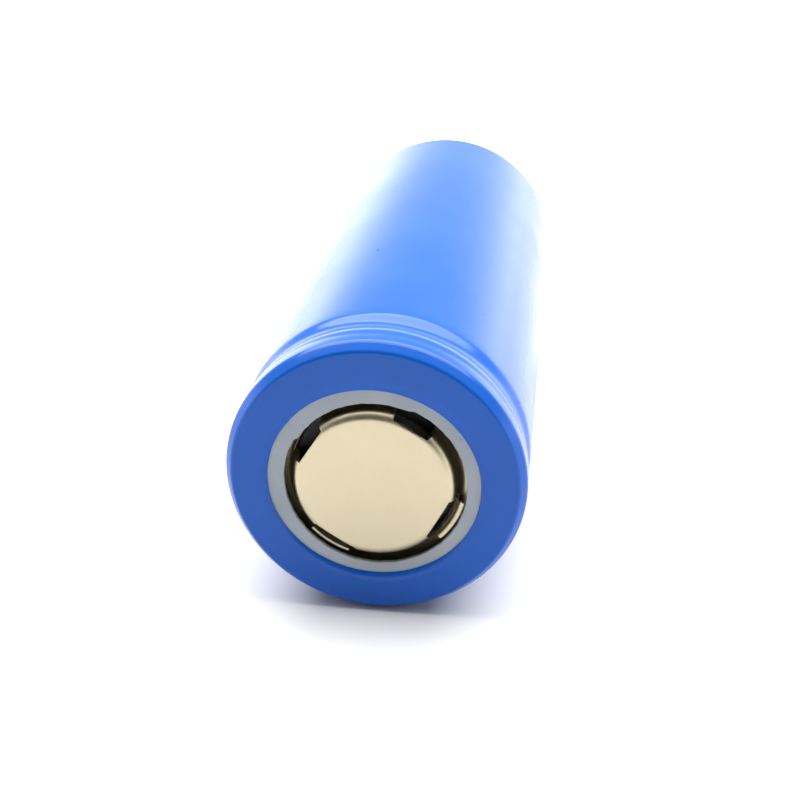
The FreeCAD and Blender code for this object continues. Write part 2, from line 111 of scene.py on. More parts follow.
class CellSleeveSettings(bpy.types.PropertyGroup):
    """Sizes and colours of the heat-shrunk sleeve"""
    thickness: length_setting("Film thickness", 0.1, "Thickness of the shrunk film")
    front_hole: length_setting("Front hole radius", 9.1, "Radius of the opening round the cap")
    rear_hole: length_setting("Rear hole radius", 10.3, "Radius of the opening at the negative end")
    corner_width: length_setting("Corner width", 0.68, "Width across of the eased corner at both ends")
    corner_length: length_setting("Corner length", 0.85, "Length along the axis of the eased corner")
    fold_round: length_setting("Fold round", 0.45, "Rounding between the folded end and the eased corner")
    side_round: length_setting("Side round", 0.7, "Rounding between the eased corner and the wall")
    bead_behind_front: length_setting("Bead position", 5.1, "Distance from the front fold to the dip")
    bead_depth: length_setting("Bead dip", 0.34, "How far the film sinks into the bead")
    bead_before: length_setting("Bead slope before", 2.4, "Length of the dip's slope towards the cap")
    bead_after: length_setting("Bead slope after", 1.8, "Length of the dip's slope towards the body")
    hole_oval: length_setting("Front hole oval", 0.14, "How far the front opening is pulled sideways")
    rim_line: length_setting("Rim line", 0.035, "Depth of the faint line behind the crimped rim")
    rim_behind_front: length_setting("Rim line position", 2.4, "Distance from the front fold to that line")
    rim_half_width: length_setting("Rim line half width", 0.8, "Half of the width of that line")
    fold_ripple: length_setting("Fold ripple", 0.05, "Height of the film's waves on the folded ends")
    edge_sway: length_setting("Edge sway", 0.16, "How far the cut edges wander")
    wall_sway: length_setting("Wall sway", 0.03, "How far the wall wanders")
    segments: count_setting("Segments", 384, "Divisions round the axis")
    colour: colour_setting("Film colour", (0.002, 0.080, 0.41), "Blue of the film")
    fleck_colour: colour_setting("Fleck colour", (0.03, 0.05, 0.09), "Colour of trapped dust")


class CellWasherSettings(bpy.types.PropertyGroup):
    """Sizes and colours of the insulating washer"""
    hole: length_setting("Hole radius", 7.9, "Radius of the hole round the cap")
    edge_round: length_setting("Edge round", 0.07, "Rounding of the punched edges")
    off_axis: length_setting("Hole off axis", 0.11, "How far the hole stands to the side")
    edge_wave: length_setting("Edge waves", 0.012, "Height of the rough waves of the hole's edge")
    step: length_setting("Punch step", 0.22, "How far the hole's edge stands in on one side")
    step_from: angle_setting("Step start", 62, "Where the inner stretch of the edge begins")
    step_to: angle_setting("Step end", 149, "Where the inner stretch of the edge ends in a small nick")
    segments: count_setting("Segments", 288, "Divisions round the axis")
    colour: colour_setting("Board colour", (0.31, 0.34, 0.38), "Pale grey of the pressed board")


class CellCapSettings(bpy.types.PropertyGroup):
    """Sizes and colours of the positive cap"""
    thickness: length_setting("Sheet thickness", 0.4, "Thickness of the pressed sheet")
    top_radius: length_setting("Top radius", 6.92, "Radius of the flat top with its rounded edge")
    foot_radius: length_setting("Foot radius", 7.24, "Radius of the legs where they meet the flange")
    edge_round: length_setting("Edge round", 0.85, "Rounding of the edge of the top")
    foot_round: length_setting("Foot round", 0.6, "Rounding between legs and flange")
    window_corner: length_setting("Window corner radius", 6.62, "Radius at the windows' corners")
    window_sill: length_setting("Window sill", 0.12, "Height of the sill left over the flange")
    flap_lean: length_setting("Flap lean", 0.75, "How far the most bent flap leans out at its top")
    flap_height: length_setting("Flap height", 1.15, "Height of a punched flap over the flange")
    flap_thickness: length_setting("Flap thickness", 0.22, "Thickness of a flap, thinned by the punch")
    columns: count_setting("Columns", 480, "Divisions round the axis")
    colour: colour_setting("Nickel colour", (0.475, 0.42, 0.29), "Warm satin nickel of the cap")


class CellCanSettings(bpy.types.PropertyGroup):
    """Sizes and colours of the steel can"""
    wall: length_setting("Wall thickness", 0.3, "Thickness of the drawn wall")
    floor: length_setting("Floor thickness", 0.4, "Thickness of the can's bottom")
    corner: length_setting("Corner radius", 1.0, "Radius of the bottom corner and of the crimp")
    pad_radius: length_setting("Pad radius", 8.6, "Radius of the raised contact pad")
    pad_rise: length_setting("Pad rise", 0.2, "Height of the contact pad over the rim ring")
    pad_round: length_setting("Pad round", 0.2, "Rounding of the pad's edge and of its foot")
    crimp_hole: length_setting("Crimp hole radius", 10.4, "Radius of the crimped mouth")
    bead_behind_crimp: length_setting("Bead position", 4.7, "Distance from the crimp to the bead's middle")
    bead_depth: length_setting("Bead depth", 1.6, "Depth of the rolled bead")
    bead_half_width: length_setting("Bead half width", 1.9, "Half of the width of the bead")
    weld_radius: length_setting("Weld mark radius", 0.42, "Radius of each weld mark on the pad")
    weld_depth: length_setting("Weld mark depth", 0.07, "Depth of each weld mark")
    weld_spread: length_setting("Weld mark spread", 0.85, "Distance of the weld marks from the axis")
    segments: count_setting("Segments", 288, "Divisions round the axis")
    colour: colour_setting("Plate colour", (0.33, 0.32, 0.30), "Nickel plate over steel")


class CellStageSettings(bpy.types.PropertyGroup):
    """Floor, light and camera"""
    floor_size: length_setting("Floor size", 900, "Side of the square floor")
    floor_colour: colour_setting("Floor colour", (0.66, 0.66, 0.67), "Colour of the plain floor")
    horizon: number_setting("Horizon brightness", 2.7, "Brightness low at the sides and back")
    zenith: number_setting("Zenith brightness", 0.8, "Brightness high up")
    facing: number_setting("Front brightness", 0.12, "Brightness of the dim room in front of the cell")
    overhead: number_setting("Overhead power", 22.0, "Power of the soft light overhead, in watts")
    overhead_width: length_setting("Overhead width", 1400, "Width of the soft light, across the cell")
    overhead_depth: length_setting("Overhead depth", 800, "Depth of the soft light, along the cell")
    overhead_height: length_setting("Overhead height", 600, "Height of the soft light over the floor")
    overhead_back: length_setting("Overhead set back", 300, "How far the light stands behind the middle")
    distance: length_setting("Camera distance", 105.4, "Distance of the lens in front of the front end")
    camera_right: length_setting("Camera to the right", 2.27, "How far the lens stands to the right")
    camera_up: length_setting("Camera upwards", 7.24, "How far the lens stands upwards")
    lens: number_setting("Lens", 55.7, "Focal length in millimetres, on a 36 mm wide sensor")
    azimuth: angle_setting("Camera azimuth", 7.54, "Turn of the camera round the cell")
    elevation: angle_setting("Camera elevation", 26.54, "Height angle of the camera")


SETTINGS = {
    "cell_sleeve": CellSleeveSettings,
    "cell_washer": CellWasherSettings,
    "cell_cap": CellCapSettings,
    "cell_can": CellCanSettings,
    "cell_stage": CellStageSettings,
}


# ---------------------------------------------------------------- node trees

def socket_of(sockets, key):
    """A socket by name or by place, the one in use where several share a name."""
    if isinstance(key, int):
        return sockets[key]
    return next(socket for socket in sockets if socket.name == key and socket.enabled)


def add_node(tree, kind, inputs=None, **settings):
    """A node with its settings, and with each input linked to a socket or set to a value."""
    node = tree.nodes.new(kind)
    for name, value in settings.items():
        setattr(node, name, value)
    for key, value in (inputs or {}).items():
        socket = socket_of(node.inputs, key)
        if isinstance(value, bpy.types.NodeSocket):
            tree.links.new(value, socket)
        else:
            socket.default_value = value
    return node


def out(node, key=0):
    return socket_of(node.outputs, key)


def calculate(tree, operation, *values, kind="ShaderNodeMath"):
    """The result of a math node; kind makes it a vector one."""
    return out(add_node(tree, kind, dict(enumerate(values)), operation=operation))


def remap(tree, value, low, high, to_low, to_high):
    inputs = {"Value": value, "From Min": low, "From Max": high, "To Min": to_low, "To Max": to_high}
    return out(add_node(tree, "ShaderNodeMapRange", inputs, interpolation_type="SMOOTHSTEP"))


def mix_colour(tree, factor, first, second):
    inputs = {"Factor": factor, "A": first, "B": second}
    return out(add_node(tree, "ShaderNodeMix", inputs, data_type="RGBA"), "Result")


def new_tree(name, kind, inputs, outputs):
    """A node group with named inputs, each with its type and default, and named outputs."""
    tree = bpy.data.node_groups.new(name, kind)
    for label, (socket_kind, default) in inputs.items():
        socket = tree.interface.new_socket(name=label, in_out="INPUT", socket_type=socket_kind)
        if default is not None:
            socket.default_value = default
    for label, socket_kind in outputs.items():
        tree.interface.new_socket(name=label, in_out="OUTPUT", socket_type=socket_kind)
    entry = tree.nodes.new("NodeGroupInput")
    leave = tree.nodes.new("NodeGroupOutput")
    return tree, entry, leave


def shared_tree(name, build):
    """The node group of that name, built the first time that it is asked for."""
    return bpy.data.node_groups.get(name) or build(name)


# ---------------------------------------------------------------- geometry trees

def build_turned_tree(name):
    """Turns a profile of (radius, place along the axis) into a closed piece round the axis.

    The profile's "sway" attribute says how far each of its points may wander: outwards in its
    first part, along the axis in its second, and in radial ripples along the axis in its third.
    """
    tree, entry, leave = new_tree(name, "GeometryNodeTree", {
        "Profile": ("NodeSocketGeometry", None),
        "Segments": ("NodeSocketInt", 256),
        "Axis Height": ("NodeSocketFloat", 0.0),
        "Sway Scale": ("NodeSocketFloat", 200.0),
        "Ripple Scale": ("NodeSocketFloat", 4.0),
        "Seed": ("NodeSocketFloat", 0.0),
        "Finish": ("NodeSocketMaterial", None),
    }, {"Piece": "NodeSocketGeometry"})
    points = out(add_node(tree, "GeometryNodeAttributeDomainSize",
                          {"Geometry": out(entry, "Profile")}, component="MESH"), "Point Count")
    columns = calculate(tree, "ADD", out(entry, "Segments"), 1)
    grid = add_node(tree, "GeometryNodeMeshGrid",
                    {"Size X": 1.0, "Size Y": 1.0, "Vertices X": columns, "Vertices Y": points})
    position = out(add_node(tree, "GeometryNodeInputPosition"))
    across = add_node(tree, "ShaderNodeSeparateXYZ", {0: position})
    angle = calculate(tree, "MULTIPLY_ADD", out(across, "X"), math.tau, math.pi)
    last = calculate(tree, "SUBTRACT", points, 1)
    share = calculate(tree, "ADD", out(across, "Y"), 0.5)
    row = calculate(tree, "ROUND", calculate(tree, "MULTIPLY", share, last))

    def from_profile(value):
        return add_node(tree, "ShaderNodeSeparateXYZ", {0: out(add_node(
            tree, "GeometryNodeSampleIndex",
            {"Geometry": out(entry, "Profile"), "Value": value, "Index": row},
            data_type="FLOAT_VECTOR", domain="POINT"), "Value")})

    station = from_profile(position)
    named = add_node(tree, "GeometryNodeInputNamedAttribute", {"Name": "sway"}, data_type="FLOAT_VECTOR")
    sway = from_profile(out(named, "Attribute"))
    cosine = calculate(tree, "COSINE", angle)
    sine = calculate(tree, "SINE", angle)

    def placed(radius, along):
        return out(add_node(tree, "ShaderNodeCombineXYZ", {
            "X": calculate(tree, "MULTIPLY", radius, cosine),
            "Y": along,
            "Z": calculate(tree, "MULTIPLY_ADD", radius, sine, out(entry, "Axis Height")),
        }))

    def noise(place, scale):
        inputs = {"Vector": place, "W": out(entry, "Seed"), "Scale": scale, "Detail": 2.0}
        node = add_node(tree, "ShaderNodeTexNoise", inputs, noise_dimensions="4D")
        return calculate(tree, "SUBTRACT", out(node), 0.5)

    wander = noise(placed(out(station, "X"), out(station, "Y")), out(entry, "Sway Scale"))
    direction = out(add_node(tree, "ShaderNodeCombineXYZ", {"X": cosine, "Z": sine}))
    ripple = noise(direction, out(entry, "Ripple Scale"))
    radius = calculate(tree, "MULTIPLY_ADD", wander, out(sway, "X"), out(station, "X"))
    along = calculate(tree, "MULTIPLY_ADD", wander, out(sway, "Y"), out(station, "Y"))
    along = calculate(tree, "MULTIPLY_ADD", ripple, out(sway, "Z"), along)
    shaped = add_node(tree, "GeometryNodeSetPosition",
                      {"Geometry": out(grid, "Mesh"), "Position": placed(radius, along)})
    merged = add_node(tree, "GeometryNodeMergeByDistance",
                      {"Geometry": out(shaped), "Distance": JOIN_DISTANCE})
    smooth = add_node(tree, "GeometryNodeSetShadeSmooth", {"Geometry": out(merged)})
    real = add_node(tree, "GeometryNodeRealizeInstances", {"Geometry": out(smooth)})
    finished = add_node(tree, "GeometryNodeSetMaterial",
                        {"Geometry": out(real), "Material": out(entry, "Finish")})
    tree.links.new(out(finished), leave.inputs[0])
    return tree


def build_fleck_tree(name):
    """Puts a low dome on each point of a mesh, sized by its "size" and set on its "outward"."""
    tree, entry, leave = new_tree(name, "GeometryNodeTree", {
        "Places": ("NodeSocketGeometry", None),
        "Flatness": ("NodeSocketFloat", 0.3),
        "Finish": ("NodeSocketMaterial", None),
    }, {"Flecks": "NodeSocketGeometry"})
    outward = out(add_node(tree, "GeometryNodeInputNamedAttribute", {"Name": "outward"},
                           data_type="FLOAT_VECTOR"), "Attribute")
    size = out(add_node(tree, "GeometryNodeInputNamedAttribute", {"Name": "size"},
                        data_type="FLOAT"), "Attribute")
    points = add_node(tree, "GeometryNodeMeshToPoints", {"Mesh": out(entry, "Places")})
    dome = add_node(tree, "GeometryNodeMeshUVSphere", {"Segments": 20, "Rings": 12, "Radius": 1.0})
    turn = add_node(tree, "FunctionNodeAlignRotationToVector", {"Vector": outward}, axis="Z")
    flat = add_node(tree, "ShaderNodeCombineXYZ", {
        "X": size, "Y": size, "Z": calculate(tree, "MULTIPLY", size, out(entry, "Flatness"))})
    placed = add_node(tree, "GeometryNodeInstanceOnPoints", {
        "Points": out(points), "Instance": out(dome, "Mesh"), "Rotation": out(turn), "Scale": out(flat)})
    real = add_node(tree, "GeometryNodeRealizeInstances", {"Geometry": out(placed)})
    smooth = add_node(tree, "GeometryNodeSetShadeSmooth", {"Geometry": out(real)})
    finished = add_node(tree, "GeometryNodeSetMaterial",
                        {"Geometry": out(smooth), "Material": out(entry, "Finish")})
    tree.links.new(out(finished), leave.inputs[0])
    return tree


def grow(name, start, tree, values):
    """A plain mesh object from a start mesh and a geometry tree with its named inputs set."""
    piece = bpy.data.objects.new(name, start)
    bpy.context.scene.collection.objects.link(piece)
    modifier = piece.modifiers.new("Shape", "NODES")
    modifier.node_group = tree
    identifiers = {item.name: item.identifier for item in tree.interface.items_tree
                   if item.item_type == "SOCKET" and item.in_out == "INPUT"}
    for label, value in values.items():
        modifier[identifiers[label]] = value
    graph = bpy.context.evaluated_depsgraph_get()
    graph.update()
    result = bpy.data.meshes.new_from_object(piece.evaluated_get(graph))
    piece.modifiers.remove(modifier)
    piece.data = result
    result.name = name
    if not result.polygons:
        raise RuntimeError(f"{name} came out empty")
    return piece


# ---------------------------------------------------------------- profiles

def rounded_path(corners, steps=7, support=0.04 * MM):
    """A path through corners of (radius, along, rounding), each rounding drawn as an arc.

    A support point stands just before and after each arc, so that flat stretches shade flat.
    """
    path = [Vector(corners[0][:2])]
    for before, corner, after in zip(corners, corners[1:], corners[2:]):
        tip = Vector(corner[:2])
        back = (Vector(before[:2]) - tip).normalized()
        ahead = (Vector(after[:2]) - tip).normalized()
        half = back.angle(ahead) / 2
        reach = corner[2] / math.tan(half)
        centre = tip + (back + ahead).normalized() * corner[2] / math.sin(half)
        spoke = tip + back * reach - centre
        sweep = spoke.angle_signed(tip + ahead * reach - centre)
        path.append(tip + back * (reach + support))
        for step in range(steps + 1):
            path.append(centre + Matrix.Rotation(-sweep * step / steps, 2) @ spoke)
        path.append(tip + ahead * (reach + support))
    path.append(Vector(corners[-1][:2]))
    return np.array([tuple(point) for point in path])


def refined(path, longest):
    """The path with its long stretches cut into equal shares no longer than given."""
    fine = [path[0]]
    for start, end in zip(path, path[1:]):
        shares = max(1, math.ceil(np.linalg.norm(end - start) / longest))
        fine += [start + (end - start) * share / shares for share in range(1, shares + 1)]
    return np.array(fine)


def skin(path, thickness, to_axis=False):
    """A closed profile: the path, and back a wall's thickness on its left, with eased cut edges.

    With to_axis the path ends on the axis, and only its first end is a cut edge.
    """
    walls = np.broadcast_to(thickness, len(path))[:, None]
    stretches = np.diff(path, axis=0)
    stretches /= np.linalg.norm(stretches, axis=1)[:, None]
    travel = np.vstack([stretches[:1], stretches[:-1] + stretches[1:], stretches[-1:]])
    travel /= np.linalg.norm(travel, axis=1)[:, None]
    inner = path + np.stack([-travel[:, 1], travel[:, 0]], axis=1) * walls
    first_nose = (path[:1] + inner[:1]) / 2 - travel[:1] * walls[0] * EDGE_NOSE
    last_nose = (path[-1:] + inner[-1:]) / 2 + travel[-1:] * walls[-1] * EDGE_NOSE
    if to_axis:
        inner[-1, 0] = 0.0
        return np.vstack([path, inner[::-1], first_nose, path[:1]])
    return np.vstack([path, last_nose, inner[::-1], first_nose, path[:1]])


def pin_row(path, part, value):
    """The row nearest to a radius (part 0) or a place along the axis (part 1), moved exactly there."""
    row = int(np.argmin(np.abs(path[:, part] - value)))
    path[row] = [np.interp(value, path[:, part], path[:, other]) for other in (0, 1)]
    return row


def rows_on_wall(path, radius, start, end):
    """The path with evenly spaced rows on its straight wall between two places along the axis."""
    on_wall = path[:, 0] > radius - ON_WALL
    path = path[~(on_wall & (path[:, 1] > start) & (path[:, 1] < end))]
    place = int(np.argmax(path[:, 1] > end))
    rows = np.stack([np.full(BEAD_ROWS, radius), np.linspace(start, end, BEAD_ROWS)], axis=1)
    return np.insert(path, place, rows, axis=0)


def dip(along, centre, half_width):
    """1 at the centre, falling in a smooth wave to 0 at half a width to either side."""
    share = np.clip(np.abs(along - centre) / half_width, 0.0, 1.0)
    return 0.5 + 0.5 * np.cos(math.pi * share)


def turn(name, profile, segments, finish, sway=None, **values):
    """A turned piece from a profile of (radius, along) and the sway of each of its points."""
    start = bpy.data.meshes.new(name)
    start.from_pydata([(radius, along, 0.0) for radius, along in profile],
                      [(i, i + 1) for i in range(len(profile) - 1)], [])
    attribute = start.attributes.new("sway", "FLOAT_VECTOR", "POINT")
    if sway is not None:
        attribute.data.foreach_set("vector", sway.ravel())
    values = {"Segments": segments, "Axis Height": AXIS_HEIGHT, "Finish": finish} | values
    piece = grow(name, start, shared_tree("Turned piece", build_turned_tree), values)
    face_outwards(piece.data)
    return piece


def face_outwards(mesh, join=JOIN_DISTANCE):
    """Merge what meets, turn all faces outwards and stop if the mesh isn't closed."""
    work = bmesh.new()
    work.from_mesh(mesh)
    bmesh.ops.remove_doubles(work, verts=work.verts, dist=join)
    bmesh.ops.delete(work, geom=[edge for edge in work.edges if not edge.link_faces], context="EDGES")
    bmesh.ops.recalc_face_normals(work, faces=work.faces)
    if work.calc_volume(signed=True) < 0:
        bmesh.ops.reverse_faces(work, faces=work.faces)
    if any(not edge.is_manifold for edge in work.edges):
        raise RuntimeError(f"{mesh.name} isn't closed")
    work.to_mesh(mesh)
    work.free()
    mesh.update()


def reshape(mesh, rule):
    """Move a mesh's points by a rule on arrays of radius, angle and place along the axis."""
    points = np.empty(len(mesh.vertices) * 3)
    mesh.vertices.foreach_get("co", points)
    points = points.reshape(-1, 3)
    rise = points[:, 2] - AXIS_HEIGHT
    radius = np.hypot(points[:, 0], rise)
    angle = np.arctan2(rise, points[:, 0]) % math.tau
    radius, angle, along = rule(radius, angle, points[:, 1].copy())
    moved = np.stack([radius * np.cos(angle), along, AXIS_HEIGHT + radius * np.sin(angle)], axis=1)
    mesh.vertices.foreach_set("co", moved.ravel())
    mesh.update()


def smooth_step(value, low, high):
    share = np.clip((value - low) / (high - low), 0.0, 1.0)
    return share * share * (3.0 - 2.0 * share)


def apply_modifiers(piece):
    """Turn what the piece's modifiers make into its own mesh."""
    graph = bpy.context.evaluated_depsgraph_get()
    graph.update()
    result = bpy.data.meshes.new_from_object(piece.evaluated_get(graph))
    piece.modifiers.clear()
    piece.data = result
    result.name = piece.name


def hand_over(piece, node):
    """The piece rides with the cell and stands for its CAD node."""
    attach(piece, "root")
    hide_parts(node)


# ---------------------------------------------------------------- shader groups

def build_grain(name):
    """Fine grain or drawn marks: a noise stretched by different amounts along the three axes."""
    tree, entry, leave = new_tree(name, "ShaderNodeTree", {
        "Vector": ("NodeSocketVector", None),
        "Stretch": ("NodeSocketVector", (1.0, 1.0, 1.0)),
        "Scale": ("NodeSocketFloat", 1000.0),
        "Detail": ("NodeSocketFloat", 3.0),
    }, {"Height": "NodeSocketFloat", "Mask": "NodeSocketFloat"})
    place = calculate(
        tree, "MULTIPLY", out(entry, "Vector"), out(entry, "Stretch"), kind="ShaderNodeVectorMath")
    noise = add_node(tree, "ShaderNodeTexNoise", {
        "Vector": place, "Scale": out(entry, "Scale"), "Detail": out(entry, "Detail")})
    tree.links.new(out(noise), leave.inputs["Height"])
    tree.links.new(remap(tree, out(noise), 0.25, 0.75, 0.0, 1.0), leave.inputs["Mask"])
    return tree


def build_turned_marks(name):
    """Fine rings round the cell's axis, as a lathe or a rubbing contact leaves."""
    tree, entry, leave = new_tree(name, "ShaderNodeTree", {
        "Vector": ("NodeSocketVector", None),
        "Axis Height": ("NodeSocketFloat", AXIS_HEIGHT),
        "Fineness": ("NodeSocketFloat", 6000.0),
    }, {"Height": "NodeSocketFloat", "Mask": "NodeSocketFloat"})
    place = add_node(tree, "ShaderNodeSeparateXYZ", {0: out(entry, "Vector")})
    rise = calculate(tree, "SUBTRACT", out(place, "Z"), out(entry, "Axis Height"))
    flat = add_node(tree, "ShaderNodeCombineXYZ", {"X": out(place, "X"), "Y": rise})
    radius = out(add_node(tree, "ShaderNodeVectorMath", {0: out(flat)}, operation="LENGTH"), "Value")
    rings = add_node(tree, "ShaderNodeTexNoise", {
        "W": radius, "Scale": out(entry, "Fineness"), "Detail": 2.0}, noise_dimensions="1D")
    tree.links.new(out(rings), leave.inputs["Height"])
    tree.links.new(remap(tree, out(rings), 0.35, 0.65, 0.0, 1.0), leave.inputs["Mask"])
    return tree


def build_specks(name):
    """Sparse small specks: dust, fibres' ends and pinholes."""
    tree, entry, leave = new_tree(name, "ShaderNodeTree", {
        "Vector": ("NodeSocketVector", None),
        "Scale": ("NodeSocketFloat", 400.0),
        "Size": ("NodeSocketFloat", 0.12),
        "Share": ("NodeSocketFloat", 0.1),
    }, {"Mask": "NodeSocketFloat"})
    cells = add_node(tree, "ShaderNodeTexVoronoi", {
        "Vector": out(entry, "Vector"), "Scale": out(entry, "Scale")})
    near = calculate(tree, "LESS_THAN", out(cells, "Distance"), out(entry, "Size"))
    chosen = calculate(tree, "LESS_THAN", out(add_node(
        tree, "ShaderNodeSeparateColor", {"Color": out(cells, "Color")}), "Red"), out(entry, "Share"))
    tree.links.new(calculate(tree, "MULTIPLY", near, chosen), leave.inputs["Mask"])
    return tree


GRAIN = "Grain"
TURNED_MARKS = "Turned marks"
SPECKS = "Specks"
SHARED_EFFECTS = {GRAIN: build_grain, TURNED_MARKS: build_turned_marks, SPECKS: build_specks}


# ---------------------------------------------------------------- materials

class Finish:
    """A material under construction: its shader, its Object coordinates and its shared effects."""

    def __init__(self, name, **constants):
        self.material = bpy.data.materials.new(name)
        self.material.use_nodes = True
        self.tree = self.material.node_tree
        self.tree.nodes.clear()
        self.shader = add_node(self.tree, "ShaderNodeBsdfPrincipled")
        for label, value in constants.items():
            label = label.replace("_", " ").title().replace("Ior", "IOR")
            self.shader.inputs[label].default_value = (*value, 1.0) if isinstance(value, tuple) else value
        add_node(self.tree, "ShaderNodeOutputMaterial", {"Surface": out(self.shader)})
        self.place = out(add_node(self.tree, "ShaderNodeTexCoord"), "Object")

    def effect(self, name, **inputs):
        """A shared effect placed in this material with its own values."""
        group = add_node(self.tree, "ShaderNodeGroup", node_tree=shared_tree(name, SHARED_EFFECTS[name]))
        self.tree.links.new(self.place, group.inputs["Vector"])
        for label, value in inputs.items():
            group.inputs[label.replace("_", " ").title()].default_value = value
        return group

    def feed(self, label, value):
        self.tree.links.new(value, self.shader.inputs[label])

    def vary_colour(self, mask, first, second, spot_mask=None, spot=None):
        """Base colour between two colours by a mask, with spots of a third by a second mask."""
        base = mix_colour(self.tree, mask, (*first, 1.0), (*second, 1.0))
        if spot_mask is not None:
            base = mix_colour(self.tree, spot_mask, base, (*spot, 1.0))
        self.feed("Base Color", base)

    def vary_roughness(self, mask, low, high):
        self.feed("Roughness", remap(self.tree, mask, 0.0, 1.0, low, high))

    def bump(self, height, depth, under=None):
        """Surface relief of a depth in metres, over any relief under it."""
        inputs = {"Height": height, "Strength": 1.0, "Distance": depth}
        if under is not None:
            inputs["Normal"] = under
        return out(add_node(self.tree, "ShaderNodeBump", inputs))


def shade(colour, factor):
    return tuple(min(1.0, part * factor) for part in colour)


def film_finish(settings):
    """Glossy blue heat-shrunk film with a faint orange peel and soft stretch lines."""
    finish = Finish(FILM, specular_ior_level=0.27, ior=1.5)
    peel = finish.effect(GRAIN, scale=900.0, detail=2.0)
    stretch = finish.effect(GRAIN, scale=500.0, stretch=(1.0, 0.06, 1.0), detail=2.0)
    mottle = finish.effect(GRAIN, scale=90.0, detail=3.0)
    colour = tuple(settings.colour)
    finish.vary_colour(out(mottle, "Mask"), shade(colour, 0.96), shade(colour, 1.04))
    finish.vary_roughness(out(mottle, "Mask"), 0.17, 0.23)
    lines = finish.bump(out(stretch, "Height"), 0.004 * MM)
    finish.feed("Normal", finish.bump(out(peel, "Height"), 0.006 * MM, lines))
    return finish.material


def fleck_finish(settings):
    """Dark matt dust."""
    finish = Finish("Trapped dust", roughness=0.6)
    grain = finish.effect(GRAIN, scale=4000.0)
    colour = tuple(settings.fleck_colour)
    finish.vary_colour(out(grain, "Mask"), shade(colour, 0.7), colour)
    return finish.material


def board_finish(settings):
    """Pale pressed board with fibres and a little dust."""
    finish = Finish("Washer board", specular_ior_level=0.3)
    fibres = finish.effect(GRAIN, scale=2500.0, stretch=(1.0, 1.0, 0.35), detail=4.0)
    clouds = finish.effect(GRAIN, scale=260.0, detail=2.0)
    specks = finish.effect(SPECKS, scale=1500.0, size=0.2, share=0.06)
    dusty = calculate(finish.tree, "MULTIPLY", out(specks, "Mask"), 0.35)
    colour = tuple(settings.colour)
    finish.vary_colour(
        out(clouds, "Mask"), shade(colour, 0.93), shade(colour, 1.06), dusty, shade(colour, 0.5))
    finish.vary_roughness(out(fibres, "Mask"), 0.62, 0.78)
    finish.feed("Normal", finish.bump(out(fibres, "Height"), 0.02 * MM))
    return finish.material


def metal_finish(name, colour, low, high, marks, depth, specks=0.0):
    """Plated or bare metal: a roughness that varies with marks, and a trace of tarnish specks."""
    finish = Finish(name, metallic=1.0)
    if marks == TURNED_MARKS:
        lines = finish.effect(TURNED_MARKS, fineness=5000.0)
    else:
        lines = finish.effect(GRAIN, scale=2500.0, stretch=marks, detail=4.0)
    clouds = finish.effect(GRAIN, scale=350.0, detail=3.0)
    dull = None
    if specks:
        dots = finish.effect(SPECKS, scale=900.0, size=0.14, share=specks)
        dull = calculate(finish.tree, "MULTIPLY", out(dots, "Mask"), 0.5)
    finish.vary_colour(out(clouds, "Mask"), shade(colour, 0.97), colour, dull, shade(colour, 0.45))
    worn = calculate(finish.tree, "MULTIPLY", calculate(
        finish.tree, "ADD", out(lines, "Mask"), out(clouds, "Mask")), 0.5)
    finish.vary_roughness(worn, low, high)
    finish.feed("Normal", finish.bump(out(lines, "Height"), depth))
    return finish.material


def moulded_finish(name, colour, roughness, grain_scale, depth, coat=0.0):
    """Plastic, coating or tape with its own fine grain."""
    finish = Finish(name, coat_weight=coat)
    grain = finish.effect(GRAIN, scale=grain_scale, detail=4.0)
    clouds = finish.effect(GRAIN, scale=200.0, detail=2.0)
    finish.vary_colour(out(clouds, "Mask"), shade(colour, 0.92), shade(colour, 1.05))
    finish.vary_roughness(out(grain, "Mask"), roughness - 0.06, roughness + 0.06)
    finish.feed("Normal", finish.bump(out(grain, "Height"), depth))
    return finish.material


# ---------------------------------------------------------------- pieces

def settings_of(name):
    return getattr(bpy.context.scene, name)


# Widths over which the film's wandering fades in or out.
EDGE_FADE = 1.5 * MM
FOLD_FADE = 1.0 * MM
OVAL_FADE = 2.0 * MM
FOLD_END = 1.2 * MM
WALL_START = 0.1 * MM


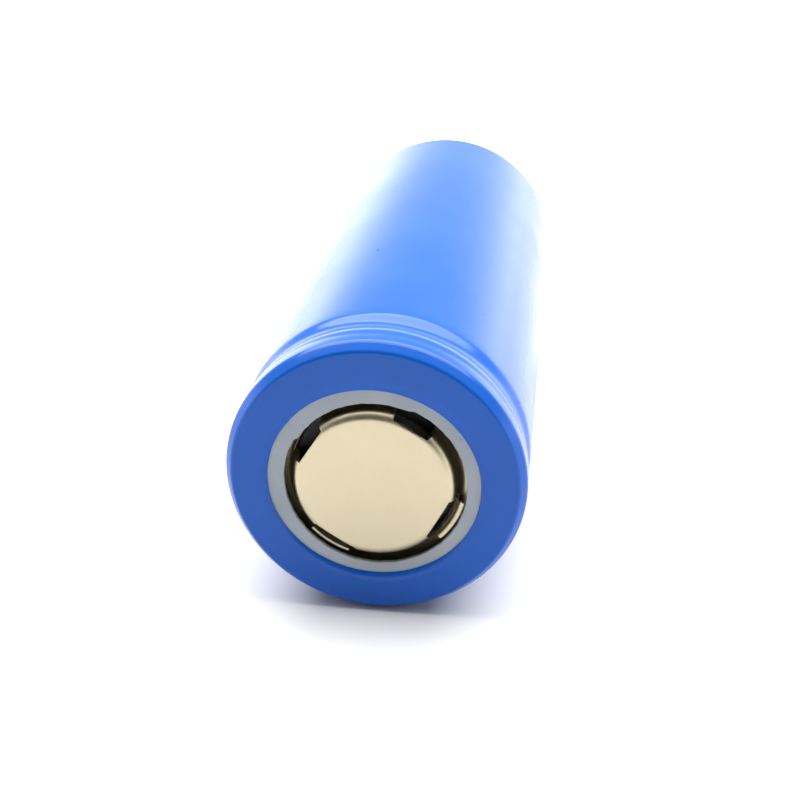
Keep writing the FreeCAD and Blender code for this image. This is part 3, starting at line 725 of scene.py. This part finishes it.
class CELL_OT_sleeve(bpy.types.Operator):
    """Build the shrink sleeve, drawn in over the can's bead and folded over both ends"""
    bl_idname = "cell.sleeve"
    bl_label = "Shrink sleeve"

    def execute(self, context):
        s = settings_of("cell_sleeve")
        profile = skin(self.outer_path(s), s.thickness)
        noise = {"Sway Scale": 120.0, "Seed": 3.0}
        piece = turn("sleeve", profile, s.segments, film_finish(s), self.wander(s, profile), **noise)

        def oval(radius, angle, along):
            near_edge = (along < 0.0) * (1.0 - smooth_step(radius, s.front_hole, s.front_hole + OVAL_FADE))
            return radius + near_edge * s.hole_oval * np.cos(2 * angle), angle, along

        reshape(piece.data, oval)
        hand_over(piece, "shrink_wrap")
        return {"FINISHED"}

    def outer_path(self, s):
        """The film's outer side, from the front hole along the wall to the rear hole."""
        front, rear = SLEEVE_LOW.y, SLEEVE_HIGH.y
        path = refined(rounded_path([
            (s.front_hole, front, 0.0),
            (SLEEVE_RADIUS - s.corner_width, front, s.fold_round),
            (SLEEVE_RADIUS, front + s.corner_length, s.side_round),
            (SLEEVE_RADIUS, rear - s.corner_length, s.side_round),
            (SLEEVE_RADIUS - s.corner_width, rear, s.fold_round),
            (s.rear_hole, rear, 0.0),
        ], steps=6), LONGEST_ROW)
        bead = front + s.bead_behind_front
        path = rows_on_wall(path, SLEEVE_RADIUS, front + 1.5 * s.corner_length, bead + s.bead_after)
        on_wall = path[:, 0] > SLEEVE_RADIUS - ON_WALL
        slope = np.where(path[:, 1] < bead, s.bead_before, s.bead_after)
        sink = s.bead_depth * dip(path[:, 1], bead, slope)
        sink += s.rim_line * dip(path[:, 1], front + s.rim_behind_front, s.rim_half_width)
        path[:, 0] -= np.where(on_wall, sink, 0.0)
        return path

    def wander(self, s, profile):
        """How far the film wanders at its cut edges, on its wall and on its folded ends."""
        radius, along = profile.T
        edge = np.where(along < 0.0, s.front_hole, s.rear_hole)
        near_edge = 1.0 - smooth_step(radius, edge, edge + EDGE_FADE)
        folded = smooth_step(radius, edge, edge + FOLD_FADE)
        folded *= 1.0 - smooth_step(radius, SLEEVE_RADIUS - FOLD_END, SLEEVE_RADIUS - WALL_START)
        on_wall = radius > SLEEVE_RADIUS - s.bead_depth - 2 * s.thickness
        outward = s.edge_sway * near_edge + s.wall_sway * on_wall
        return np.stack([outward, np.zeros(len(radius)), s.fold_ripple * folded], axis=1)


# Each mark on the film: angle round the axis in degrees, millimetres behind the front fold, and
# radius in millimetres.
FILM_PIMPLES = (
    (66, 15.5, 0.10),
    (52, 14, 0.08),
    (101, 38, 0.07),
    (140, 30, 0.09),
    (205, 22, 0.08),
    (20, 41, 0.07),
)
FILM_DUST = ((103, 23.2, 0.13),)
PIMPLE_FLATNESS = 0.25
DUST_FLATNESS = 0.35


class CELL_OT_flecks(bpy.types.Operator):
    """Scatter the few pimples under the film and the grain of dust on it"""
    bl_idname = "cell.flecks"
    bl_label = "Film flecks"

    def execute(self, context):
        s = settings_of("cell_sleeve")
        self.scatter("film_pimples", bpy.data.materials[FILM], FILM_PIMPLES, PIMPLE_FLATNESS)
        self.scatter("film_dust", fleck_finish(s), FILM_DUST, DUST_FLATNESS)
        return {"FINISHED"}

    def scatter(self, name, finish, marks, flatness):
        """A low dome on the sleeve's wall for each mark."""
        outward = []
        places = []
        for degrees, behind, _ in marks:
            x, z = math.cos(math.radians(degrees)), math.sin(math.radians(degrees))
            outward.append((x, 0.0, z))
            places.append((SLEEVE_RADIUS * x, SLEEVE_LOW.y + behind * MM, AXIS_HEIGHT + SLEEVE_RADIUS * z))
        start = bpy.data.meshes.new(name)
        start.from_pydata(places, [], [])
        start.attributes.new("outward", "FLOAT_VECTOR", "POINT").data.foreach_set(
            "vector", np.ravel(outward))
        start.attributes.new("size", "FLOAT", "POINT").data.foreach_set(
            "value", [size * MM for _, _, size in marks])
        piece = grow(name, start, shared_tree("Flecks on film", build_fleck_tree),
                     {"Flatness": flatness, "Finish": finish})
        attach(piece, "root")


# The washer's punched hole: where its shape fades into the round outer edge, the turns over which
# the step rises and drops, and the waves of its edge as waves per turn and a starting angle.
HOLE_FADE = (0.1 * MM, 1.0 * MM)
STEP_RISE = math.radians(8)
STEP_DROP = math.radians(1.5)
EDGE_WAVES = ((23, 0), (41, 1), (67, 2))


class CELL_OT_washer(bpy.types.Operator):
    """Build the insulating washer, with its punched hole a little off the axis"""
    bl_idname = "cell.washer"
    bl_label = "Insulating washer"

    def execute(self, context):
        s = settings_of("cell_washer")
        front, rear = WASHER_LOW.y, WASHER_HIGH.y
        middle = (s.hole + WASHER_RADIUS) / 2
        path = rounded_path([
            (middle, front, 0.0),
            (WASHER_RADIUS, front, s.edge_round),
            (WASHER_RADIUS, rear, s.edge_round),
            (s.hole, rear, s.edge_round),
            (s.hole, front, s.edge_round),
            (middle, front, 0.0),
        ], steps=4)
        piece = turn("washer", path, s.segments, board_finish(s))

        def punched(radius, angle, along):
            near_hole = 1.0 - smooth_step(radius, s.hole + HOLE_FADE[0], s.hole + HOLE_FADE[1])
            inset = smooth_step(angle, s.step_from, s.step_from + STEP_RISE)
            inset *= 1.0 - smooth_step(angle, s.step_to, s.step_to + STEP_DROP)
            waves = sum(np.sin(angle * count + start) for count, start in EDGE_WAVES)
            shift = s.off_axis * np.cos(angle) - s.step * inset + s.edge_wave * waves
            return radius + near_hole * shift, angle, along

        reshape(piece.data, punched)
        face_outwards(piece.data)
        hand_over(piece, "top_washer")
        return {"FINISHED"}


# Each gas window of the cap: angle of its middle and angle that it spans, both in degrees, then the
# height, the lean and the curl of the flap punched out of it, as shares of the cap's settings. A
# height of 0 leaves the window without a flap.
CAP_WINDOWS = (
    (60.0, 31.0, 0.0, 0.0, 0.0),
    (147.5, 34.0, 0.0, 0.0, 0.0),
    (237.0, 36.0, 1.0, 0.5, 0.0),
    (332.0, 37.0, 0.8, 0.85, 1.0),
)
# The top is drawn in towards a window's straight edge from this share of the windows' corner radius.
DRAWN_FROM = 0.6
# The outer sheared edges: how near to the cap's outer side they lie, how far inside the flange's
# rim they end, how sharp they are at least, and how far they are eased.
SHEAR_DEPTH = 0.15 * MM
SHEAR_MARGIN = 1.0 * MM
SHEAR_ANGLE = math.radians(50)
SHEAR_EASE = 0.04 * MM
# A flap's gap to the window's sides in degrees, its foot's distance from the cap's rear as a
# share of the sheet's thickness, its rows and columns, its clearance from the legs, the bend of a
# leaning and of a curled one, and how much narrower its tip is.
FLAP_GAP = 2.5
FLAP_FOOT = 1.2
FLAP_ROWS = 7
FLAP_COLUMNS = 15
FLAP_CLEARANCE = 0.02 * MM
LEAN_BEND = 1.3
CURL_BEND = 2.0
FLAP_TAPER = 0.06


class CELL_OT_cap(bpy.types.Operator):
    """Build the pressed cap, its gas windows and the flaps punched out of them"""
    bl_idname = "cell.cap"
    bl_label = "Positive cap"

    def execute(self, context):
        s = settings_of("cell_cap")
        finish = metal_finish("Satin nickel", tuple(s.colour), 0.30, 0.40, EVEN, 0.004 * MM)
        path = refined(rounded_path([
            (0.0, CAP_LOW.y, 0.0),
            (s.top_radius, CAP_LOW.y, s.edge_round),
            (s.foot_radius, CAP_HIGH.y - s.thickness, s.foot_round),
            (FLANGE_RADIUS, CAP_HIGH.y - s.thickness, 0.0),
        ], steps=8), CAP_ROW)
        piece = self.pressed_cap(s, path)
        self.ease_edges(piece.data, path)
        for middle, width, height, lean, curl in CAP_WINDOWS:
            if height:
                half = math.radians(width / 2 - FLAP_GAP)
                self.add_flap(s, piece.data, math.radians(middle), half,
                              height * s.flap_height, lean * s.flap_lean, curl)
        piece.data.materials.append(finish)
        piece.data.polygons.foreach_set("use_smooth", [True] * len(piece.data.polygons))
        face_outwards(piece.data, CAP_JOIN)
        piece.data.set_sharp_from_angle(angle=SHEAR_ANGLE)
        hand_over(piece, "positive_cap")
        return {"FINISHED"}

    def pressed_cap(self, s, path):
        """The pressed sheet with its windows, as a closed shell."""
        chord_row = pin_row(path, 0, s.window_corner)
        sill_row = pin_row(path, 1, CAP_HIGH.y - s.thickness - s.window_sill)
        count = s.columns
        angles = np.linspace(0.0, math.tau, count, endpoint=False)
        chord = np.ones(count)
        in_window = np.zeros(count, dtype=bool)
        for middle, width, *_ in CAP_WINDOWS:
            off = (angles - math.radians(middle) + math.pi) % math.tau - math.pi
            inside = np.abs(off) < math.radians(width / 2)
            in_window |= inside
            chord[inside] = math.cos(math.radians(width / 2)) / np.cos(off[inside])
        work = bmesh.new()
        pole = work.verts.new((0.0, CAP_LOW.y, AXIS_HEIGHT))
        rows = []
        for row in range(1, len(path)):
            ring = []
            for angle, straight in zip(angles, chord):
                radius, along = path[row]
                if row <= chord_row:
                    pull = smooth_step(radius, DRAWN_FROM * s.window_corner, s.window_corner)
                    radius *= 1.0 + (straight - 1.0) * pull
                    along = np.interp(radius, path[:chord_row + 1, 0], path[:chord_row + 1, 1])
                ring.append(work.verts.new((
                    radius * math.cos(angle), along, AXIS_HEIGHT + radius * math.sin(angle))))
            rows.append(ring)
        for column in range(count):
            after = (column + 1) % count
            work.faces.new((pole, rows[0][column], rows[0][after]))
            open_here = in_window[column] and in_window[after]
            for row, (ring, outer) in enumerate(zip(rows, rows[1:]), 1):
                if not (open_here and chord_row <= row < sill_row):
                    work.faces.new((ring[column], outer[column], outer[after], ring[after]))
        bmesh.ops.delete(work, geom=[vert for vert in work.verts if not vert.link_faces], context="VERTS")
        bmesh.ops.recalc_face_normals(work, faces=work.faces)
        if sum(face.normal.y * face.calc_area() for face in work.faces) > 0:
            bmesh.ops.reverse_faces(work, faces=work.faces)
        mesh = bpy.data.meshes.new("cap")
        work.to_mesh(mesh)
        work.free()
        piece = bpy.data.objects.new("cap", mesh)
        bpy.context.scene.collection.objects.link(piece)
        sheet = piece.modifiers.new("Sheet", "SOLIDIFY")
        sheet.thickness = s.thickness
        sheet.offset = -1.0
        apply_modifiers(piece)
        return piece

    def ease_edges(self, mesh, path):
        """Round the sheared edges on the outer side of the windows a little."""
        work = bmesh.new()
        work.from_mesh(mesh)
        sharp = []
        for edge in work.edges:
            middle = (edge.verts[0].co + edge.verts[1].co) / 2
            radius = math.hypot(middle.x, middle.z - AXIS_HEIGHT)
            depth = abs(middle.y - np.interp(radius, path[:, 0], path[:, 1]))
            on_outside = depth < SHEAR_DEPTH and radius < FLANGE_RADIUS - SHEAR_MARGIN
            if on_outside and edge.calc_face_angle() > SHEAR_ANGLE:
                sharp.append(edge)
        bmesh.ops.bevel(work, geom=sharp, offset=SHEAR_EASE, segments=2, profile=0.5, affect="EDGES",
                        clamp_overlap=True)
        work.to_mesh(mesh)
        work.free()

    def add_flap(self, s, mesh, window, half, height, lean, curl):
        """A flap punched out of its window and bent outwards, its foot in the sill.

        A curl of 0 leans evenly; a curl of 1 bends over until its tip faces the front.
        """
        foot = CAP_HIGH.y - s.thickness * FLAP_FOOT
        bend = LEAN_BEND + (CURL_BEND - LEAN_BEND) * curl
        work = bmesh.new()
        work.from_mesh(mesh)
        layers = []
        for wall in (0.0, -s.flap_thickness):
            grid = []
            for rise in np.linspace(0.0, 1.0, FLAP_ROWS):
                radius = s.foot_radius + FLAP_CLEARANCE + lean * rise ** bend + wall * (1.0 - curl * rise)
                along = foot - height * (rise + curl * rise * (1.0 - rise)) - wall * curl * rise
                narrow = half * (1.0 - FLAP_TAPER * rise ** 3)
                grid.append([work.verts.new((
                    radius * math.cos(turned), along, AXIS_HEIGHT + radius * math.sin(turned)))
                    for turned in window + np.linspace(-narrow, narrow, FLAP_COLUMNS)])
            layers.append(grid)
        outer, inner = layers
        last_row, last_column = FLAP_ROWS - 1, FLAP_COLUMNS - 1
        corners = []
        for row in range(last_row):
            for column in range(last_column):
                corners += [(grid[row][column], grid[row][column + 1],
                             grid[row + 1][column + 1], grid[row + 1][column]) for grid in layers]
        for column in range(last_column):
            corners += [(outer[row][column], outer[row][column + 1],
                         inner[row][column + 1], inner[row][column]) for row in (0, last_row)]
        for row in range(last_row):
            corners += [(outer[row][column], outer[row + 1][column],
                         inner[row + 1][column], inner[row][column]) for column in (0, last_column)]
        bmesh.ops.recalc_face_normals(work, faces=[work.faces.new(four) for four in corners])
        work.to_mesh(mesh)
        work.free()


# The can's floor thickens between these distances from its rear. Each weld mark is a hollow with a
# low ridge round it, given as shares of the hollow's radius and depth.
THIN_UNTIL = 1.6 * MM
THICK_FROM = 0.6 * MM
RIDGE_WIDTH = 0.35
RIDGE_HEIGHT = 0.2


class CELL_OT_can(bpy.types.Operator):
    """Build the drawn steel can with its rolled bead, crimped mouth and marked contact pad"""
    bl_idname = "cell.can"
    bl_label = "Steel can"

    def execute(self, context):
        s = settings_of("cell_can")
        shoulder = CAN_HIGH.y - s.pad_rise
        path = self.outer_path(s, shoulder)
        bottom = smooth_step(path[:, 1], CAN_HIGH.y - THIN_UNTIL, CAN_HIGH.y - THICK_FROM)
        walls = s.wall + (s.floor - s.wall) * bottom
        finish = metal_finish(
            "Nickelled steel", tuple(s.colour), 0.24, 0.38, TURNED_MARKS, 0.006 * MM, specks=0.08)
        piece = turn("can_shell", skin(path, walls, to_axis=True), s.segments, finish)
        marks = [(s.weld_spread * x, s.weld_spread * z) for x in (-1, 1) for z in (-1, 1)]

        def welded(radius, angle, along):
            x, z = radius * np.cos(angle), radius * np.sin(angle)
            for mark_x, mark_z in marks:
                away = np.hypot(x - mark_x, z - mark_z)
                hollow = 1.0 - smooth_step(away, 0.0, s.weld_radius)
                ridge = dip(away, s.weld_radius, RIDGE_WIDTH * s.weld_radius)
                along = along - (along > shoulder) * s.weld_depth * (hollow - RIDGE_HEIGHT * ridge)
            return radius, angle, along

        reshape(piece.data, welded)
        face_outwards(piece.data)
        hand_over(piece, "can")
        return {"FINISHED"}

    def outer_path(self, s, shoulder):
        """The can's outer side, from the crimped mouth along the wall to the middle of the pad."""
        front, rear = CAN_LOW.y, CAN_HIGH.y
        path = refined(rounded_path([
            (s.crimp_hole, front, 0.0),
            (CAN_RADIUS, front, s.corner),
            (CAN_RADIUS, shoulder, s.corner),
            (s.pad_radius + s.pad_rise, shoulder, s.pad_round),
            (s.pad_radius, rear, s.pad_round),
            (0.0, rear, 0.0),
        ], steps=8), LONGEST_ROW)
        bead = front + s.bead_behind_crimp
        path = rows_on_wall(path, CAN_RADIUS, bead - s.bead_half_width, bead + s.bead_half_width)
        on_wall = path[:, 0] > CAN_RADIUS - ON_WALL
        path[:, 0] -= s.bead_depth * dip(path[:, 1], bead, s.bead_half_width) * on_wall
        marked = 1.5 * s.weld_spread + 2 * s.weld_radius
        rows = np.stack([np.linspace(marked, 0.0, WELD_ROWS), np.full(WELD_ROWS, rear)], axis=1)
        return np.vstack([path[path[:, 0] > marked], rows])


# Metals inside the cell: name, colour, lowest and highest roughness, and the stretch of the marks.
INNER_METALS = {
    "aluminium": ("Pressed aluminium", (0.80, 0.81, 0.82), 0.28, 0.40, EVEN),
    "strip": ("Rolled aluminium strip", (0.82, 0.82, 0.83), 0.22, 0.36, (1.0, 0.08, 1.0)),
    "pin": ("Bright steel pin", (0.58, 0.57, 0.56), 0.20, 0.32, (1.0, 0.05, 1.0)),
    "nickel": ("Rolled nickel strip", (0.66, 0.61, 0.53), 0.22, 0.36, (0.08, 1.0, 1.0)),
}
INNER_METAL_RELIEF = 0.003 * MM

# Plastics, tapes and coats inside the cell: name, colour, roughness, the grain's scale and depth,
# and for a tape the weight of its clear coat.
INNER_PLASTICS = {
    "gasket": ("Gasket plastic", (0.50, 0.51, 0.49), 0.45, 1500.0, 0.004 * MM),
    "ptc": ("Carbon filled polymer", (0.02, 0.02, 0.022), 0.55, 3000.0, 0.006 * MM),
    "spacer": ("Spacer plastic", (0.62, 0.61, 0.56), 0.40, 1500.0, 0.003 * MM),
    "amber": ("Amber tape", (0.45, 0.17, 0.02), 0.28, 800.0, 0.003 * MM, 0.3),
    "disc": ("Disc plastic", (0.70, 0.72, 0.70), 0.45, 1200.0, 0.004 * MM),
    "separator": ("Separator film", (0.82, 0.82, 0.80), 0.50, 2500.0, 0.003 * MM),
    "cathode": ("Cathode coat", (0.018, 0.018, 0.020), 0.75, 5000.0, 0.006 * MM),
    "anode": ("Anode coat", (0.045, 0.043, 0.042), 0.70, 5000.0, 0.006 * MM),
    "green": ("Green tape", (0.03, 0.30, 0.14), 0.32, 800.0, 0.003 * MM, 0.3),
}

INNER_PIECES = {
    "seal_gasket": "gasket", "ptc_disc": "ptc", "vent_disc": "aluminium", "contact_plate": "aluminium",
    "disconnect_spacer": "spacer", "positive_tab": "strip", "positive_tab_tape": "amber",
    "negative_tab_tape": "amber", "upper_insulator": "disc", "lower_insulator": "disc",
    "inner_separator": "separator", "outer_separator": "separator", "cathode_sheet": "cathode",
    "anode_sheet": "anode", "closing_tape": "green", "core_pin": "pin", "negative_tab": "nickel",
}


class CELL_OT_inner_finishes(bpy.types.Operator):
    """Give the pieces inside the cell their finishes"""
    bl_idname = "cell.inner_finishes"
    bl_label = "Inner finishes"

    def execute(self, context):
        finishes = {key: metal_finish(*row, INNER_METAL_RELIEF) for key, row in INNER_METALS.items()}
        finishes |= {key: moulded_finish(*row) for key, row in INNER_PLASTICS.items()}
        for node, finish in INNER_PIECES.items():
            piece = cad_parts[node]
            piece.data.materials.clear()
            piece.data.materials.append(finishes[finish])
        return {"FINISHED"}


# Parts of a unit direction in the surround: the height from which it has its zenith brightness, and
# along Y, from front to back, where it ends being dim and where it is fully bright.
ZENITH_FROM = 0.35
DIM_UNTIL = -0.75
BRIGHT_FROM = -0.1

# The width that the lens setting's focal length goes with, in millimetres, and the camera's range.
SENSOR_WIDTH = 36.0
NEAREST = 5 * MM
FARTHEST = 20000 * MM


class CELL_OT_stage(bpy.types.Operator):
    """Build the floor, the light and the camera"""
    bl_idname = "cell.stage"
    bl_label = "Floor, light and camera"

    def execute(self, context):
        s = settings_of("cell_stage")
        self.add_floor(s)
        self.add_surround(s)
        self.add_overhead(s)
        self.add_camera(s)
        context.scene.view_settings.view_transform = "Standard"
        return {"FINISHED"}

    def add_floor(self, s):
        half = s.floor_size / 2
        mesh = bpy.data.meshes.new("floor")
        mesh.from_pydata([(-half, -half, 0.0), (half, -half, 0.0), (half, half, 0.0), (-half, half, 0.0)],
                         [], [(0, 1, 2, 3)])
        floor = bpy.data.objects.new("floor", mesh)
        colour = tuple(s.floor_colour)
        finish = Finish("Pale floor", base_color=colour, roughness=0.9, specular_ior_level=0.0)
        mesh.materials.append(finish.material)
        bpy.context.scene.collection.objects.link(floor)

    def add_surround(self, s):
        """Brightest at the horizon, dimmer high up and in front, and plain white to the lens."""
        world = bpy.data.worlds.new("Studio surround")
        world.use_nodes = True
        tree = world.node_tree
        tree.nodes.clear()
        direction = add_node(tree, "ShaderNodeTexCoord")
        part = add_node(tree, "ShaderNodeSeparateXYZ", {0: out(direction, "Generated")})
        around = remap(tree, out(part, "Z"), 0.0, ZENITH_FROM, s.horizon, s.zenith)
        behind = remap(tree, out(part, "Y"), DIM_UNTIL, BRIGHT_FROM, 0.0, 1.0)
        bright = calculate(tree, "ADD", calculate(tree, "MULTIPLY", around, behind), s.facing)
        seen = out(add_node(tree, "ShaderNodeLightPath"), "Is Camera Ray")
        light = add_node(tree, "ShaderNodeBackground", {
            "Color": (1.0, 1.0, 1.0, 1.0), "Strength": calculate(tree, "MAXIMUM", bright, seen)})
        add_node(tree, "ShaderNodeOutputWorld", {"Surface": out(light)})
        bpy.context.scene.world = world

    def add_overhead(self, s):
        light = bpy.data.lights.new("Overhead softbox", "AREA")
        light.shape = "RECTANGLE"
        light.size = s.overhead_width
        light.size_y = s.overhead_depth
        light.energy = s.overhead
        lamp = bpy.data.objects.new("Overhead softbox", light)
        lamp.location = (0.0, s.overhead_back, s.overhead_height)
        bpy.context.scene.collection.objects.link(lamp)

    def add_camera(self, s):
        cos_a, sin_a = math.cos(s.azimuth), math.sin(s.azimuth)
        cos_e, sin_e = math.cos(s.elevation), math.sin(s.elevation)
        right = Vector((cos_a, sin_a, 0.0))
        up = Vector((-sin_a * sin_e, cos_a * sin_e, cos_e))
        back = right.cross(up)
        front_centre = Vector((0.0, SLEEVE_LOW.y, AXIS_HEIGHT))
        place = front_centre + back * s.distance + right * s.camera_right + up * s.camera_up
        lens = bpy.data.cameras.new("Camera")
        lens.lens = s.lens
        lens.sensor_width = SENSOR_WIDTH
        lens.clip_start = NEAREST
        lens.clip_end = FARTHEST
        camera = bpy.data.objects.new("Camera", lens)
        turn_to = Matrix((right, up, back)).transposed().to_4x4()
        camera.matrix_world = Matrix.Translation(place) @ turn_to
        bpy.context.scene.collection.objects.link(camera)
        bpy.context.scene.camera = camera


class CELL_PT_builder(bpy.types.Panel):
    """The cell's builders and their settings, in the 3D view's sidebar"""
    bl_idname = "CELL_PT_builder"
    bl_label = "Battery Cell"
    bl_space_type = "VIEW_3D"
    bl_region_type = "UI"
    bl_category = "Battery Cell"

    def draw(self, context):
        for operator in OPERATORS:
            self.layout.operator(operator.bl_idname)
        for name, kind in SETTINGS.items():
            box = self.layout.box()
            box.label(text=kind.__doc__)
            for prop in kind.__annotations__:
                box.prop(getattr(context.scene, name), prop)


OPERATORS = (CELL_OT_sleeve, CELL_OT_flecks, CELL_OT_washer, CELL_OT_cap, CELL_OT_can,
             CELL_OT_inner_finishes, CELL_OT_stage)


def register():
    for kind in (*SETTINGS.values(), *OPERATORS, CELL_PT_builder):
        bpy.utils.register_class(kind)
    for name, kind in SETTINGS.items():
        setattr(bpy.types.Scene, name, bpy.props.PointerProperty(type=kind))


def unregister():
    for name in SETTINGS:
        delattr(bpy.types.Scene, name)
    for kind in reversed((*SETTINGS.values(), *OPERATORS, CELL_PT_builder)):
        bpy.utils.unregister_class(kind)


def main():
    register()
    bpy.ops.cell.sleeve()
    bpy.ops.cell.flecks()
    bpy.ops.cell.washer()
    bpy.ops.cell.cap()
    bpy.ops.cell.can()
    bpy.ops.cell.inner_finishes()
    bpy.ops.cell.stage()


if __name__ == "__main__":
    main()
